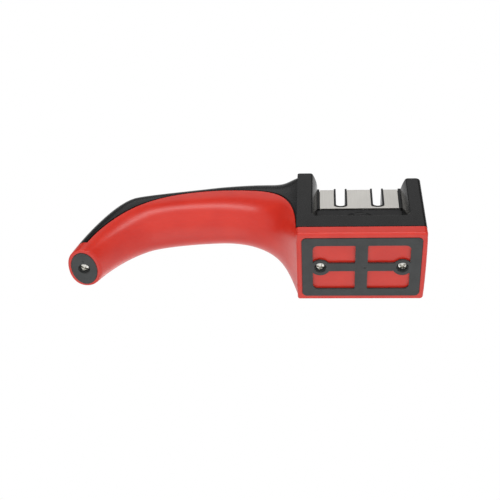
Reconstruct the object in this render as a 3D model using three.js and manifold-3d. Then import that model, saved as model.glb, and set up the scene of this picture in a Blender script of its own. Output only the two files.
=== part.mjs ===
// Hand-held two-stage pull-through sharpener with an arched handle.
//
// It stands on its base pad and on the foot at the end of its handle.
// While it is modelled, x = 0 is the middle of the head, the handle runs towards -x,
// y = 0 is the plane of symmetry, and z = 0 is the surface that the tool stands on.
// The last lines shift it so that x = 0 is the middle of the whole length. Millimetres.

import * as THREE from 'three';
import { mergeVertices } from 'three/addons/utils/BufferGeometryUtils.js';
import Module from 'manifold-3d';

const wasm = await Module();
wasm.setup();

// ---------- driving dimensions ----------

const GAP = 0.3;                      // clearance between neighbouring pieces
const SNUG = 0.1;                     // clearance of a fit that is seen closely
const WALL = 2.4;                     // moulded wall thickness

const OVERALL_LEFT = -170.5;          // outer edge of the handle's foot
const OVERALL_RIGHT = 37;             // free end of the head

const HEAD_LEFT = -36.8;
const HEAD_HALF_WIDTH = 24.8;
const HEAD_BOTTOM = 0.5;              // red underside, just above the standing surface
const HEAD_EDGE_RADIUS = 1.6;
const HEAD_CORNER_RADIUS = 2;
const HEAD_END_BULGE = 0.4;           // how far the free end bows out in plan
const HEAD_END_LEAN = 0.3;            // how far the free end leans in at its top
const SPLIT_Z = 7;                    // red base below, black housing above
const LEFT_POST_TOP = 60.7;
const RIGHT_POST_TOP = 54.7;
const LEFT_POST_ROUND = 1.5;
const RIGHT_POST_ROUND = 2;

const RECESS_FLOOR = 17.6;
const RECESS_HALF_OUTER = 28;         // half width of the recess at the housing's faces
const RECESS_HALF_INNER = 25;         // half width beside the cartridge
const RECESS_FLARE_START = 15;        // |y| where the side walls begin to flare
const RECESS_FLARE_POWER = 1.7;        // 1 is a straight flare, more is a hollow one
const RECESS_FLARE_STEPS = 4;
const RECESS_CORNER_RADIUS = 3;

const SOCKET_FLOOR = 12.3;
const SOCKET_HALF_DEPTH = 13.7;
const SOCKET_UNDERSIDE = 9.8;
const SOCKET_BLOCK_DROP = 0.5;        // the socket's walls end just under the recess floor

const PAD_HALF_LENGTH = 33.8;
const PAD_HALF_WIDTH = 21.3;
const PAD_THICKNESS = 1.2;
const PAD_CORNER_RADIUS = 2.6;
const PAD_BAR_HALF_X = 3.5;           // middle cross bar, half width
const PAD_BAR_HALF_Y = 3.1;           // long bar, half width
const WINDOW_END_X = 27.7;
const WINDOW_END_Y = 16.2;
const WINDOW_CORNER_RADIUS = 3;
const WINDOW_INNER_RADIUS = 0.8;      // corners beside the cross bars
const PAD_BOSS_RADIUS = 5.5;
const BASE_SCREW_X = 23.4;

const FOOT_X = -161.1;
const FOOT_HALF_X = 7.4;
const FOOT_HALF_Y = 11.5;
const FOOT_THICKNESS = 1.8;

const SCREW_HEAD_RADIUS = 3;
const SCREW_HEAD_HEIGHT = 1.9;
const SCREW_SHANK_RADIUS = 1.4;
const COUNTERBORE_RADIUS = 3.6;        // inside the rubber liners of the screw wells
const LINER_RADIUS = 4.2;
const BOSS_RADIUS = 3.6;
const BASE_SCREW_FACE = 1.1;          // height of the screw heads above the surface
const BASE_SCREW_LENGTH = 8.6;
const FOOT_SCREW_LENGTH = 14;
const SCREW_HOLE_RADIUS = SCREW_SHANK_RADIUS + GAP;
const SCREW_SEAT_Z = BASE_SCREW_FACE + SCREW_HEAD_HEIGHT + GAP;   // where the heads bear
const SCREW_SEAT_THICKNESS = 1.6;
const SHELL_HOLE_TOP = 12;            // the shell's screw holes end above all its walls
const FOOT_BOSS_BOTTOM = 8;
const FOOT_BOSS_TOP = 24;

const CARTRIDGE_BOTTOM = SOCKET_FLOOR + GAP;
const CARTRIDGE_TOP = 57.6;
const CARTRIDGE_HALF_LENGTH = 25.9;    // its ends run in grooves in the recess's walls
const CARTRIDGE_HALF_DEPTH = 13.3;
const CARTRIDGE_RIM_TOP = 57.8;       // raised black edges that frame the steel
const CARTRIDGE_RIM_HALF_DEPTH = 14.3;
const CARTRIDGE_LEDGE_Z = 37.8;       // the thicker ends start here

const STEEL_THICKNESS = 0.6;
const STEEL_BEND_RADIUS = 0.9;
const STEEL_OUTER = 14;
const STEEL_HALF_LENGTH = 23.4;
const STEEL_BOTTOM = 38.3;

const SLOT_X = 11;
const SLOT_HALF_WIDTH = 2.75;
const SLOT_BOTTOM = 40.4;
const SLOT_BOTTOM_RISE = 1.8;          // depth of the slots' rounded bottoms
const GUIDE_HALF_WIDTH = 3.9;
const GUIDE_BOTTOM = 39.2;
const GUIDE_HALF_DEPTH = 13;
const LIP_BOTTOM = 39.9;              // where the guide shows through the steel
const LIP_HALF_DEPTH = 14.3;

const SCOOP_Z = 26.1;
const SCOOP_RADIUS = 21;
const SCOOP_DEPTH = 2.4;

const VEE_LEAN = THREE.MathUtils.degToRad(20);
const VEE_BOTTOM = 44.3;              // where the two working edges cross
const VEE_BAR_RISE = 2.5;             // the bars' middles lie this far above it
const CARBIDE_WIDTH = 5;
const CARBIDE_THICKNESS = 2;
const CARBIDE_LENGTH = 17;
const CARBIDE_PLANE_Y = 1.4;
const CERAMIC_RADIUS = 2;
const CERAMIC_LENGTH = 17;
const CERAMIC_PLANE_Y = 2.4;
const PIN_DROP = 3.4;                 // the pin lies this far under the crossing
const PIN_RADIUS = 1;
const PIN_HALF_LENGTH = 6;

const CARTRIDGE_SCREW_X = 17.5;
const CARTRIDGE_SCREW_Z = 26.8;
const CARTRIDGE_SCREW_FACE = CARTRIDGE_HALF_DEPTH - 1;   // heads are sunk in the rear face
const CARTRIDGE_SCREW_LENGTH = 16;
const CARTRIDGE_SCREW_HEAD_RADIUS = 2.6;
const CARTRIDGE_SCREW_HEAD_HEIGHT = 1.6;
const CARTRIDGE_SCREW_SHANK = 1.1;

// The handle in side view (x, z). Its back and its palm are each three cubic curves, given
// as start, two handles and end: the bend over the foot, the grip, the flare into the head.
const CREST_X = -85;                  // highest, straightest part of the grip
const BACK_OUTLINE = [
  [[OVERALL_LEFT, HEAD_BOTTOM], [-166, 20], [-150.5, 52.3], [-139, 56.8]],
  [[-139, 56.8], [-133, 59], [-114, 61.8], [CREST_X, 67.6]],
  [[CREST_X, 67.6], [-62, 71.6], [-48, 70.6], [HEAD_LEFT, LEFT_POST_TOP]],
];
const PALM_OUTLINE = [
  [[-152, HEAD_BOTTOM], [-145, 10.8], [-136, 21.8], [-124, 27.8]],
  [[-124, 27.8], [-114, 31.8], [-100, 33.8], [CREST_X, 33.8]],
  [[CREST_X, 33.8], [-61, 33.8], [-46, 22.8], [HEAD_LEFT, HEAD_BOTTOM]],
];
const FOOT_END_HALF_WIDTH = 13.4;
const GRIP_HALF_WIDTH = 16.7;
const FLARE_EXPONENT = 2.7;           // how late the width grows towards the head
const GRIP_POWER = 2.2;               // super-ellipse power of the grip: 2 is an ellipse
const HEAD_POWER = 8;                 // and of the section that meets the head
const SQUARING_EXPONENT = 12;         // how late the section turns square
const TUCK_LENGTH = 2.8;              // the last ring is tucked inside the head
const TUCK_INSET = 0.4;
const RING_STEPS = 10;                // rings in each of the three stretches
const HANDLE_SIDES = 28;
const HOLLOW_STEPS = 5;
const HOLLOW_SIDES = 16;
const HOLLOW_START = 0.1;             // the hollow begins past the collar

// Side view of the joint between the red shell and the black cover: an arch from the
// collar over the grip, and a dive beside the head to the base.
const JOINT_CREST = [-82, 54.7];
const JOINT_LINE = [
  [[-159, 8], [-150, 30], [-124, 54.7], JOINT_CREST],
  [JOINT_CREST, [-55, 54.7], [-37.5, 46.3], [HEAD_LEFT - 0.2, SPLIT_Z]],
];
const JOINT_STEPS = 18;               // segments in each of the two curves
const COLLAR_CUT = [-175, 11.8];      // the cover's end cut runs square to the handle

const PAST = 5;                       // how far a cut runs past the face that it opens
const OVERLAP = 0.8;                  // how far two joined shapes reach into each other
const FAR = 250;                      // further than the tool reaches in any direction
const ARC_STEPS = 6;                  // segments of a rounded corner
const FINE = 24;                      // segments of a visible round piece
const SMALL = 16;                     // segments of a small round piece

// ---------- materials ----------

function plastic(colour, roughness) {
  return new THREE.MeshStandardMaterial({ color: colour, roughness, metalness: 0 });
}

function metal(colour, roughness) {
  return new THREE.MeshStandardMaterial({ color: colour, roughness, metalness: 1 });
}

const redPlastic = plastic(0xd93a2b, 0.38);
const blackPlastic = plastic(0x35363a, 0.55);
const greyRubber = plastic(0x47494b, 0.7);
const brushedSteel = metal(0xc8c5be, 0.35);
const screwSteel = metal(0xd9d9d9, 0.25);
const carbide = metal(0x6d6f73, 0.4);
const ceramic = plastic(0xf2efe6, 0.6);

// ---------- geometry helpers ----------

function solidOf(geometry) {
  const bare = geometry.index ? geometry : geometry.clone();
  bare.deleteAttribute('normal');
  bare.deleteAttribute('uv');
  const merged = mergeVertices(bare, 1e-4);
  return new wasm.Manifold(new wasm.Mesh({
    numProp: 3,
    vertProperties: new Float32Array(merged.attributes.position.array),
    triVerts: new Uint32Array(merged.index.array),
  }));
}

function geometryOf(solid) {
  const mesh = solid.getMesh();
  const geometry = new THREE.BufferGeometry();
  geometry.setAttribute('position', new THREE.BufferAttribute(mesh.vertProperties, 3));
  geometry.setIndex(new THREE.BufferAttribute(mesh.triVerts, 1));
  geometry.computeVertexNormals();
  return geometry;
}

function piece(name, solid, material) {
  const mesh = new THREE.Mesh(geometryOf(solid), material);
  mesh.name = name;
  return mesh;
}

function box(low, high) {
  const size = [0, 1, 2].map((axis) => high[axis] - low[axis]);
  const geometry = new THREE.BoxGeometry(...size);
  geometry.translate(...[0, 1, 2].map((axis) => (low[axis] + high[axis]) / 2));
  return solidOf(geometry);
}

// A cylinder along z.
function postZ(radius, x, y, low, high, segments = SMALL) {
  const geometry = new THREE.CylinderGeometry(radius, radius, high - low, segments);
  geometry.rotateX(Math.PI / 2);
  geometry.translate(x, y, (low + high) / 2);
  return solidOf(geometry);
}

// A cylinder along y.
function postY(radius, x, z, low, high, segments = SMALL) {
  const geometry = new THREE.CylinderGeometry(radius, radius, high - low, segments);
  geometry.translate(x, (low + high) / 2, z);
  return solidOf(geometry);
}

// A shape drawn in plan (x, y), standing from low to high.
function extrudeZ(shape, low, high) {
  const geometry = new THREE.ExtrudeGeometry(shape, {
    depth: high - low, bevelEnabled: false, curveSegments: ARC_STEPS,
  });
  geometry.translate(0, 0, low);
  return solidOf(geometry);
}

// A shape drawn in side view (x, z), reaching from low to high along y.
function extrudeY(shape, low, high) {
  const geometry = new THREE.ExtrudeGeometry(shape, {
    depth: high - low, bevelEnabled: false, curveSegments: ARC_STEPS,
  });
  geometry.rotateX(Math.PI / 2);
  geometry.translate(0, high, 0);
  return solidOf(geometry);
}

// A shape drawn in end view (y, z), reaching from low to high along x.
function extrudeX(shape, low, high) {
  const geometry = new THREE.ExtrudeGeometry(shape, {
    depth: high - low, bevelEnabled: false, curveSegments: ARC_STEPS,
  });
  geometry.rotateX(Math.PI / 2);
  geometry.rotateZ(Math.PI / 2);
  geometry.translate(low, 0, 0);
  return solidOf(geometry);
}

function vector([u, v]) {
  return new THREE.Vector2(u, v);
}

function polygon(points) {
  return new THREE.Shape(points.map(vector));
}

// A rectangle whose four corners have their own radii, from the lower left round.
function roundedRectangle(left, bottom, right, top, radii) {
  const [lowLeft, lowRight, topRight, topLeft] = radii;
  const shape = new THREE.Shape();
  shape.moveTo(left + lowLeft, bottom);
  shape.lineTo(right - lowRight, bottom);
  if (lowRight) shape.absarc(right - lowRight, bottom + lowRight, lowRight, -Math.PI / 2, 0);
  shape.lineTo(right, top - topRight);
  if (topRight) shape.absarc(right - topRight, top - topRight, topRight, 0, Math.PI / 2);
  shape.lineTo(left + topLeft, top);
  if (topLeft) shape.absarc(left + topLeft, top - topLeft, topLeft, Math.PI / 2, Math.PI);
  shape.lineTo(left, bottom + lowLeft);
  if (lowLeft) shape.absarc(left + lowLeft, bottom + lowLeft, lowLeft, Math.PI, 1.5 * Math.PI);
  return shape;
}

function union(solids) {
  return solids.reduce((whole, solid) => whole.add(solid));
}

// ---------- the handle ----------

// The point of an outline at a station: the whole part picks the curve, and the rest is
// how far along it. Past the last curve the outline runs straight on, into the head.
function outlinePoint(outline, station) {
  const last = outline.length;
  if (station > last) {
    const [x, z] = outline[last - 1][3];
    const inwards = z > HEAD_BOTTOM ? -TUCK_INSET : TUCK_INSET;
    return new THREE.Vector3(x + TUCK_LENGTH, 0, z + inwards);
  }
  const index = Math.min(Math.floor(station), last - 1);
  const curve = new THREE.CubicBezierCurve(...outline[index].map(vector));
  const { x, y: z } = curve.getPoint(station - index);
  return new THREE.Vector3(x, 0, z);
}

// Half width and super-ellipse power of the handle's section at a station.
function sectionSize(station, x) {
  const flare = THREE.MathUtils.clamp((x - CREST_X) / (HEAD_LEFT - CREST_X), 0, 1);
  const swell = THREE.MathUtils.smoothstep(station, 0, 1);
  const grip = FOOT_END_HALF_WIDTH + (GRIP_HALF_WIDTH - FOOT_END_HALF_WIDTH) * swell;
  const tuck = station > BACK_OUTLINE.length ? TUCK_INSET : 0;
  return {
    half: grip + (HEAD_HALF_WIDTH - GRIP_HALF_WIDTH) * flare ** FLARE_EXPONENT - tuck,
    power: GRIP_POWER + (HEAD_POWER - GRIP_POWER) * flare ** SQUARING_EXPONENT,
  };
}

function signedPower(value, power) {
  const nearZero = 1e-6;
  return Math.abs(value) < nearZero ? 0 : Math.sign(value) * Math.abs(value) ** power;
}

// Stations from first to the head, and one more that is tucked into it.
function stationsFrom(first, steps) {
  const count = BACK_OUTLINE.length;
  const rings = Math.round((count - first) * steps);
  const stations = [];
  for (let ring = 0; ring <= rings; ring += 1) {
    stations.push(first + (ring / rings) * (count - first));
  }
  stations.push(count + 1);
  return stations;
}

// The handle's skin, moved inwards by inset.
function handleSolid(inset, firstStation, sides, steps) {
  const stations = stationsFrom(firstStation, steps);
  const rows = stations.length - 1;
  const geometry = new THREE.CylinderGeometry(1, 1, 1, sides, rows);
  const position = geometry.attributes.position;
  const point = new THREE.Vector3();
  for (let index = 0; index < position.count; index += 1) {
    point.fromBufferAttribute(position, index);
    const station = stations[Math.round((point.y + 0.5) * rows)];
    const back = outlinePoint(BACK_OUTLINE, station);
    const palm = outlinePoint(PALM_OUTLINE, station);
    const size = sectionSize(station, back.x);
    const middle = back.clone().add(palm).multiplyScalar(0.5);
    const up = back.clone().sub(palm).multiplyScalar(0.5);
    up.multiplyScalar(1 - inset / up.length());
    const reach = Math.hypot(point.x, point.z);
    const angle = Math.atan2(point.z, point.x);
    const across = reach * signedPower(Math.cos(angle), 2 / size.power);
    const upward = reach * signedPower(Math.sin(angle), 2 / size.power);
    position.setXYZ(index,
      middle.x + up.x * upward,
      -(size.half - inset) * across,
      middle.z + up.z * upward);
  }
  return solidOf(geometry);
}

// ---------- the head's envelope ----------

function headPlan() {
  const end = OVERALL_RIGHT - HEAD_END_BULGE;
  const side = HEAD_HALF_WIDTH;
  const shape = new THREE.Shape();
  shape.moveTo(HEAD_LEFT, -side);
  shape.lineTo(end - HEAD_CORNER_RADIUS, -side);
  shape.quadraticCurveTo(end, -side, end, HEAD_CORNER_RADIUS - side);
  shape.quadraticCurveTo(end + 2 * HEAD_END_BULGE, 0, end, side - HEAD_CORNER_RADIUS);
  shape.quadraticCurveTo(end, side, end - HEAD_CORNER_RADIUS, side);
  shape.lineTo(HEAD_LEFT, side);
  return shape;
}

function headSection(top, topRadius) {
  return roundedRectangle(-HEAD_HALF_WIDTH, HEAD_BOTTOM, HEAD_HALF_WIDTH, top,
    [HEAD_EDGE_RADIUS, HEAD_EDGE_RADIUS, topRadius, topRadius]);
}

function headSolid() {
  const leftHalf = extrudeX(headSection(LEFT_POST_TOP, LEFT_POST_ROUND), HEAD_LEFT, 0);
  const rightHalf = extrudeX(headSection(RIGHT_POST_TOP, RIGHT_POST_ROUND),
    -OVERLAP, OVERALL_RIGHT + PAST);
  const leaningEnd = polygon([
    [HEAD_LEFT, 0], [OVERALL_RIGHT, 0], [OVERALL_RIGHT, SPLIT_Z],
    [OVERALL_RIGHT - HEAD_END_LEAN, RIGHT_POST_TOP - RIGHT_POST_ROUND],
    [OVERALL_RIGHT - HEAD_END_LEAN - RIGHT_POST_ROUND / 3, RIGHT_POST_TOP - RIGHT_POST_ROUND / 3],
    [OVERALL_RIGHT - HEAD_END_LEAN - RIGHT_POST_ROUND, RIGHT_POST_TOP],
    [OVERALL_RIGHT - HEAD_END_LEAN - RIGHT_POST_ROUND, LEFT_POST_TOP + PAST],
    [HEAD_LEFT, LEFT_POST_TOP + PAST],
  ]);
  return leftHalf.add(rightHalf)
    .intersect(extrudeZ(headPlan(), 0, LEFT_POST_TOP + PAST))
    .intersect(extrudeY(leaningEnd, -FAR, FAR));
}

// Half width of the recess at a distance from the plane of symmetry.
function recessHalfWidth(y) {
  const depth = HEAD_HALF_WIDTH - RECESS_FLARE_START;
  const flare = Math.max(0, y - RECESS_FLARE_START) / depth;
  const growth = RECESS_HALF_OUTER - RECESS_HALF_INNER;
  return RECESS_HALF_INNER + growth * flare ** RECESS_FLARE_POWER;
}

// The gap between the two posts, which flares towards both faces of the housing.
function recessSolid() {
  const reach = HEAD_HALF_WIDTH + 1;
  const corner = [];
  for (let step = 0; step <= RECESS_FLARE_STEPS; step += 1) {
    const along = step / RECESS_FLARE_STEPS;
    const y = RECESS_FLARE_START + (reach - RECESS_FLARE_START) * along;
    corner.push([recessHalfWidth(y), y]);
  }
  const outwards = corner.slice();
  const inwards = corner.slice().reverse();
  const plan = polygon([
    ...inwards.map(([x, y]) => [x, -y]), ...outwards,
    ...inwards.map(([x, y]) => [-x, y]), ...outwards.map(([x, y]) => [-x, -y]),
  ]);
  const outer = recessHalfWidth(reach);
  const front = roundedRectangle(-outer, RECESS_FLOOR, outer, LEFT_POST_TOP + PAST,
    [RECESS_CORNER_RADIUS, RECESS_CORNER_RADIUS, 0, 0]);
  return extrudeZ(plan, RECESS_FLOOR, LEFT_POST_TOP + PAST)
    .intersect(extrudeY(front, -reach, reach));
}

// The well in the recess's floor, and above it the grooves for the cartridge's ends.
function socketSolid() {
  const end = CARTRIDGE_HALF_LENGTH + GAP;
  const grooveDepth = CARTRIDGE_RIM_HALF_DEPTH + GAP;
  return union([
    box([-end, -SOCKET_HALF_DEPTH, SOCKET_FLOOR], [end, SOCKET_HALF_DEPTH, RECESS_FLOOR + PAST]),
    box([-end, -grooveDepth, RECESS_FLOOR], [end, grooveDepth, LEFT_POST_TOP + PAST]),
  ]);
}

// Hollow inside of the handle, the base and the two posts.
function hollowSolid() {
  const inside = HEAD_HALF_WIDTH - WALL;
  const left = HEAD_LEFT - OVERLAP;
  const baseTop = RECESS_FLOOR - WALL;
  const floor = HEAD_BOTTOM + WALL;
  const postWall = RECESS_HALF_OUTER + WALL;
  return union([
    handleSolid(WALL, HOLLOW_START, HOLLOW_SIDES, HOLLOW_STEPS),
    box([left, -inside, floor], [OVERALL_RIGHT - HEAD_END_BULGE - WALL, inside, baseTop]),
    box([left, -inside, floor], [-postWall, inside, LEFT_POST_TOP - WALL]),
    box([postWall, -inside, floor],
      [OVERALL_RIGHT - HEAD_END_BULGE - HEAD_END_LEAN - WALL, inside, RIGHT_POST_TOP - WALL]),
  ]);
}

// ---------- the joint between the red shell and the black cover ----------

// The joint line, moved square to itself by offset. Above it is the cover.
function jointPoints(offset) {
  const points = [];
  JOINT_LINE.forEach((controls, index) => {
    const curve = new THREE.CubicBezierCurve(...controls.map(vector));
    for (let step = index ? 1 : 0; step <= JOINT_STEPS; step += 1) {
      const at = curve.getPoint(step / JOINT_STEPS);
      const along = curve.getTangent(step / JOINT_STEPS);
      points.push([at.x - along.y * offset, at.y + along.x * offset]);
    }
  });
  const headJoint = SPLIT_Z + offset;
  return [
    [COLLAR_CUT[0], COLLAR_CUT[1] + offset], ...points,
    [HEAD_LEFT + offset, headJoint], [OVERALL_RIGHT + PAST, headJoint],
  ];
}

function aboveJoint() {
  const ends = [[OVERALL_RIGHT + PAST, FAR], [COLLAR_CUT[0], FAR]];
  return extrudeY(polygon([...jointPoints(GAP / 2), ...ends]), -FAR, FAR);
}

function belowJoint() {
  const ends = [[OVERALL_RIGHT + PAST, -PAST], [COLLAR_CUT[0], -PAST]];
  return extrudeY(polygon([...jointPoints(-GAP / 2), ...ends].reverse()), -FAR, FAR);
}

// ---------- pads and screws ----------

function ellipseShape(halfX, halfY) {
  const ellipse = new THREE.EllipseCurve(FOOT_X, 0, halfX, halfY);
  return new THREE.Shape(ellipse.getPoints(FINE).slice(0, -1));
}

function padOutline(growth) {
  const radius = PAD_CORNER_RADIUS + growth;
  return roundedRectangle(
    -PAD_HALF_LENGTH - growth, -PAD_HALF_WIDTH - growth,
    PAD_HALF_LENGTH + growth, PAD_HALF_WIDTH + growth,
    [radius, radius, radius, radius]);
}

function padWindows() {
  const shapes = [];
  for (const sideX of [-1, 1]) {
    for (const sideY of [-1, 1]) {
      const left = sideX < 0 ? -WINDOW_END_X : PAD_BAR_HALF_X;
      const right = sideX < 0 ? -PAD_BAR_HALF_X : WINDOW_END_X;
      const bottom = sideY < 0 ? -WINDOW_END_Y : PAD_BAR_HALF_Y;
      const top = sideY < 0 ? -PAD_BAR_HALF_Y : WINDOW_END_Y;
      const big = WINDOW_CORNER_RADIUS;
      const small = WINDOW_INNER_RADIUS;
      const radii = [
        sideX < 0 && sideY < 0 ? big : small, sideX > 0 && sideY < 0 ? big : small,
        sideX > 0 && sideY > 0 ? big : small, sideX < 0 && sideY > 0 ? big : small,
      ];
      shapes.push(extrudeZ(roundedRectangle(left, bottom, right, top, radii), -PAST, PAST));
    }
  }
  return union(shapes);
}

// A ring of rubber that lines the well over a screw's head, so that the well looks dark.
function wellLiner(x) {
  return postZ(LINER_RADIUS, x, 0, 0, SCREW_SEAT_Z - GAP, FINE);
}

function basePad() {
  const bosses = [-BASE_SCREW_X, BASE_SCREW_X].map(
    (x) => postZ(PAD_BOSS_RADIUS, x, 0, 0, PAD_THICKNESS, FINE));
  const holes = [-BASE_SCREW_X, BASE_SCREW_X].map(
    (x) => postZ(COUNTERBORE_RADIUS, x, 0, -PAST, PAST, FINE));
  return extrudeZ(padOutline(0), 0, PAD_THICKNESS)
    .subtract(padWindows())
    .add(union(bosses))
    .add(wellLiner(-BASE_SCREW_X))
    .add(wellLiner(BASE_SCREW_X))
    .subtract(union(holes));
}

function footPad() {
  return extrudeZ(ellipseShape(FOOT_HALF_X, FOOT_HALF_Y), 0, FOOT_THICKNESS)
    .add(wellLiner(FOOT_X))
    .subtract(postZ(COUNTERBORE_RADIUS, FOOT_X, 0, -PAST, PAST, FINE));
}

// A pan-head cross-recess screw along z: its head's face is at 0, its tip at length.
function screwSolid(headRadius, headHeight, shankRadius, length) {
  const profile = [
    [0, 0], [headRadius * 0.8, 0], [headRadius, headHeight * 0.45], [headRadius, headHeight],
    [shankRadius, headHeight], [shankRadius, length - shankRadius], [0, length],
  ].map(([radius, height]) => new THREE.Vector2(radius, height));
  const geometry = new THREE.LatheGeometry(profile, SMALL);
  geometry.rotateX(Math.PI / 2);
  const arm = headRadius * 0.62;
  const slit = headRadius * 0.15;
  const depth = headHeight * 0.65;
  return solidOf(geometry)
    .subtract(box([-arm, -slit, -PAST], [arm, slit, depth]))
    .subtract(box([-slit, -arm, -PAST], [slit, arm, depth]));
}

function baseScrew() {
  return screwSolid(SCREW_HEAD_RADIUS, SCREW_HEAD_HEIGHT, SCREW_SHANK_RADIUS, BASE_SCREW_LENGTH);
}

function footScrew() {
  return screwSolid(SCREW_HEAD_RADIUS, SCREW_HEAD_HEIGHT, SCREW_SHANK_RADIUS, FOOT_SCREW_LENGTH);
}

function cartridgeScrew() {
  return screwSolid(CARTRIDGE_SCREW_HEAD_RADIUS, CARTRIDGE_SCREW_HEAD_HEIGHT,
    CARTRIDGE_SCREW_SHANK, CARTRIDGE_SCREW_LENGTH);
}

// ---------- the two big mouldings ----------

function bodyShell(skin, hollow) {
  const padSeat = extrudeZ(padOutline(GAP), -PAST, PAD_THICKNESS + GAP);
  const footSeat = extrudeZ(
    ellipseShape(FOOT_HALF_X + GAP, FOOT_HALF_Y + GAP), -PAST, FOOT_THICKNESS + GAP);
  const wellRadius = LINER_RADIUS + GAP;
  let shell = skin.subtract(hollow);
  for (const x of [-BASE_SCREW_X, BASE_SCREW_X]) {
    const seatTop = SCREW_SEAT_Z + SCREW_SEAT_THICKNESS;
    shell = shell.add(postZ(wellRadius + WALL / 2, x, 0, HEAD_BOTTOM + 1, seatTop, FINE));
  }
  shell = shell.intersect(belowJoint()).subtract(padSeat).subtract(footSeat);
  for (const x of [-BASE_SCREW_X, BASE_SCREW_X]) {
    shell = shell
      .subtract(postZ(wellRadius, x, 0, -PAST, SCREW_SEAT_Z, FINE))
      .subtract(postZ(SCREW_HOLE_RADIUS, x, 0, -PAST, SHELL_HOLE_TOP));
  }
  return shell
    .subtract(postZ(wellRadius, FOOT_X, 0, -PAST, SCREW_SEAT_Z, FINE))
    .subtract(postZ(SCREW_HOLE_RADIUS, FOOT_X, 0, -PAST, SHELL_HOLE_TOP));
}

function topCover(skin, hollow) {
  const bossBottom = SCREW_SEAT_Z + SCREW_SEAT_THICKNESS + GAP;
  const socketEnd = CARTRIDGE_HALF_LENGTH + GAP + WALL;
  const socketBlock = box(
    [-socketEnd, -SOCKET_HALF_DEPTH - WALL, SOCKET_UNDERSIDE],
    [socketEnd, SOCKET_HALF_DEPTH + WALL, RECESS_FLOOR - SOCKET_BLOCK_DROP]);
  const footBoss = postZ(BOSS_RADIUS, FOOT_X, 0, FOOT_BOSS_BOTTOM, FOOT_BOSS_TOP).intersect(skin);
  let cover = skin.subtract(hollow).intersect(aboveJoint()).add(socketBlock).add(footBoss);
  for (const x of [-BASE_SCREW_X, BASE_SCREW_X]) {
    cover = cover
      .add(postZ(BOSS_RADIUS, x, 0, bossBottom, SOCKET_UNDERSIDE + 1))
      .subtract(postZ(SCREW_HOLE_RADIUS, x, 0, 0, SOCKET_FLOOR - 1));
  }
  return cover
    .subtract(postZ(SCREW_HOLE_RADIUS, FOOT_X, 0, 0, FOOT_SCREW_LENGTH + 2))
    .subtract(recessSolid())
    .subtract(socketSolid());
}

// ---------- the cartridge ----------

// A U-shaped channel outline in front view, open at its top.
function channelShape(x, halfWidth, bottom, top) {
  const rise = SLOT_BOTTOM_RISE;
  const shape = new THREE.Shape();
  shape.moveTo(x - halfWidth, top);
  shape.lineTo(x - halfWidth, bottom + rise);
  shape.absellipse(x, bottom + rise, halfWidth, rise, Math.PI, 2 * Math.PI);
  shape.lineTo(x + halfWidth, top);
  return shape;
}

function slotCut(x, halfWidth, bottom, halfDepth) {
  return extrudeY(channelShape(x, halfWidth, bottom, CARTRIDGE_RIM_TOP + PAST), -halfDepth, halfDepth);
}

// Places a bar that is drawn along z so that its working edge leans over the slot.
// side is -1 or 1: the side of the slot that the bar's upper end is on.
function leaning(geometry, slotX, side, edgeOffset, y) {
  geometry.translate(side * edgeOffset, 0, VEE_BAR_RISE);
  geometry.rotateY(side * VEE_LEAN);
  geometry.translate(slotX, y, VEE_BOTTOM);
  return solidOf(geometry);
}

function carbideBlade(side, growth) {
  const geometry = new THREE.BoxGeometry(
    CARBIDE_WIDTH + 2 * growth, CARBIDE_THICKNESS + 2 * growth, CARBIDE_LENGTH + 2 * growth);
  return leaning(geometry, -SLOT_X, side, CARBIDE_WIDTH / 2, side * CARBIDE_PLANE_Y);
}

function ceramicRod(side, growth) {
  const radius = CERAMIC_RADIUS + growth;
  const geometry = new THREE.CylinderGeometry(radius, radius, CERAMIC_LENGTH + 2 * growth, SMALL);
  geometry.rotateX(Math.PI / 2);
  return leaning(geometry, SLOT_X, side, CERAMIC_RADIUS, side * CERAMIC_PLANE_Y);
}

function crossPin(growth) {
  return postY(PIN_RADIUS + growth, -SLOT_X, VEE_BOTTOM - PIN_DROP,
    -PIN_HALF_LENGTH - growth, PIN_HALF_LENGTH + growth);
}

// Room for everything that the cartridge's mouldings hold between them.
function abrasiveRoom() {
  return union([
    carbideBlade(-1, GAP), carbideBlade(1, GAP),
    ceramicRod(-1, GAP), ceramicRod(1, GAP), crossPin(GAP),
  ]);
}

function scoop(side) {
  const geometry = new THREE.SphereGeometry(SCOOP_RADIUS, FINE, SMALL);
  const away = CARTRIDGE_HALF_DEPTH + SCOOP_RADIUS - SCOOP_DEPTH;
  geometry.translate(0, side * away, SCOOP_Z);
  return solidOf(geometry);
}

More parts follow.
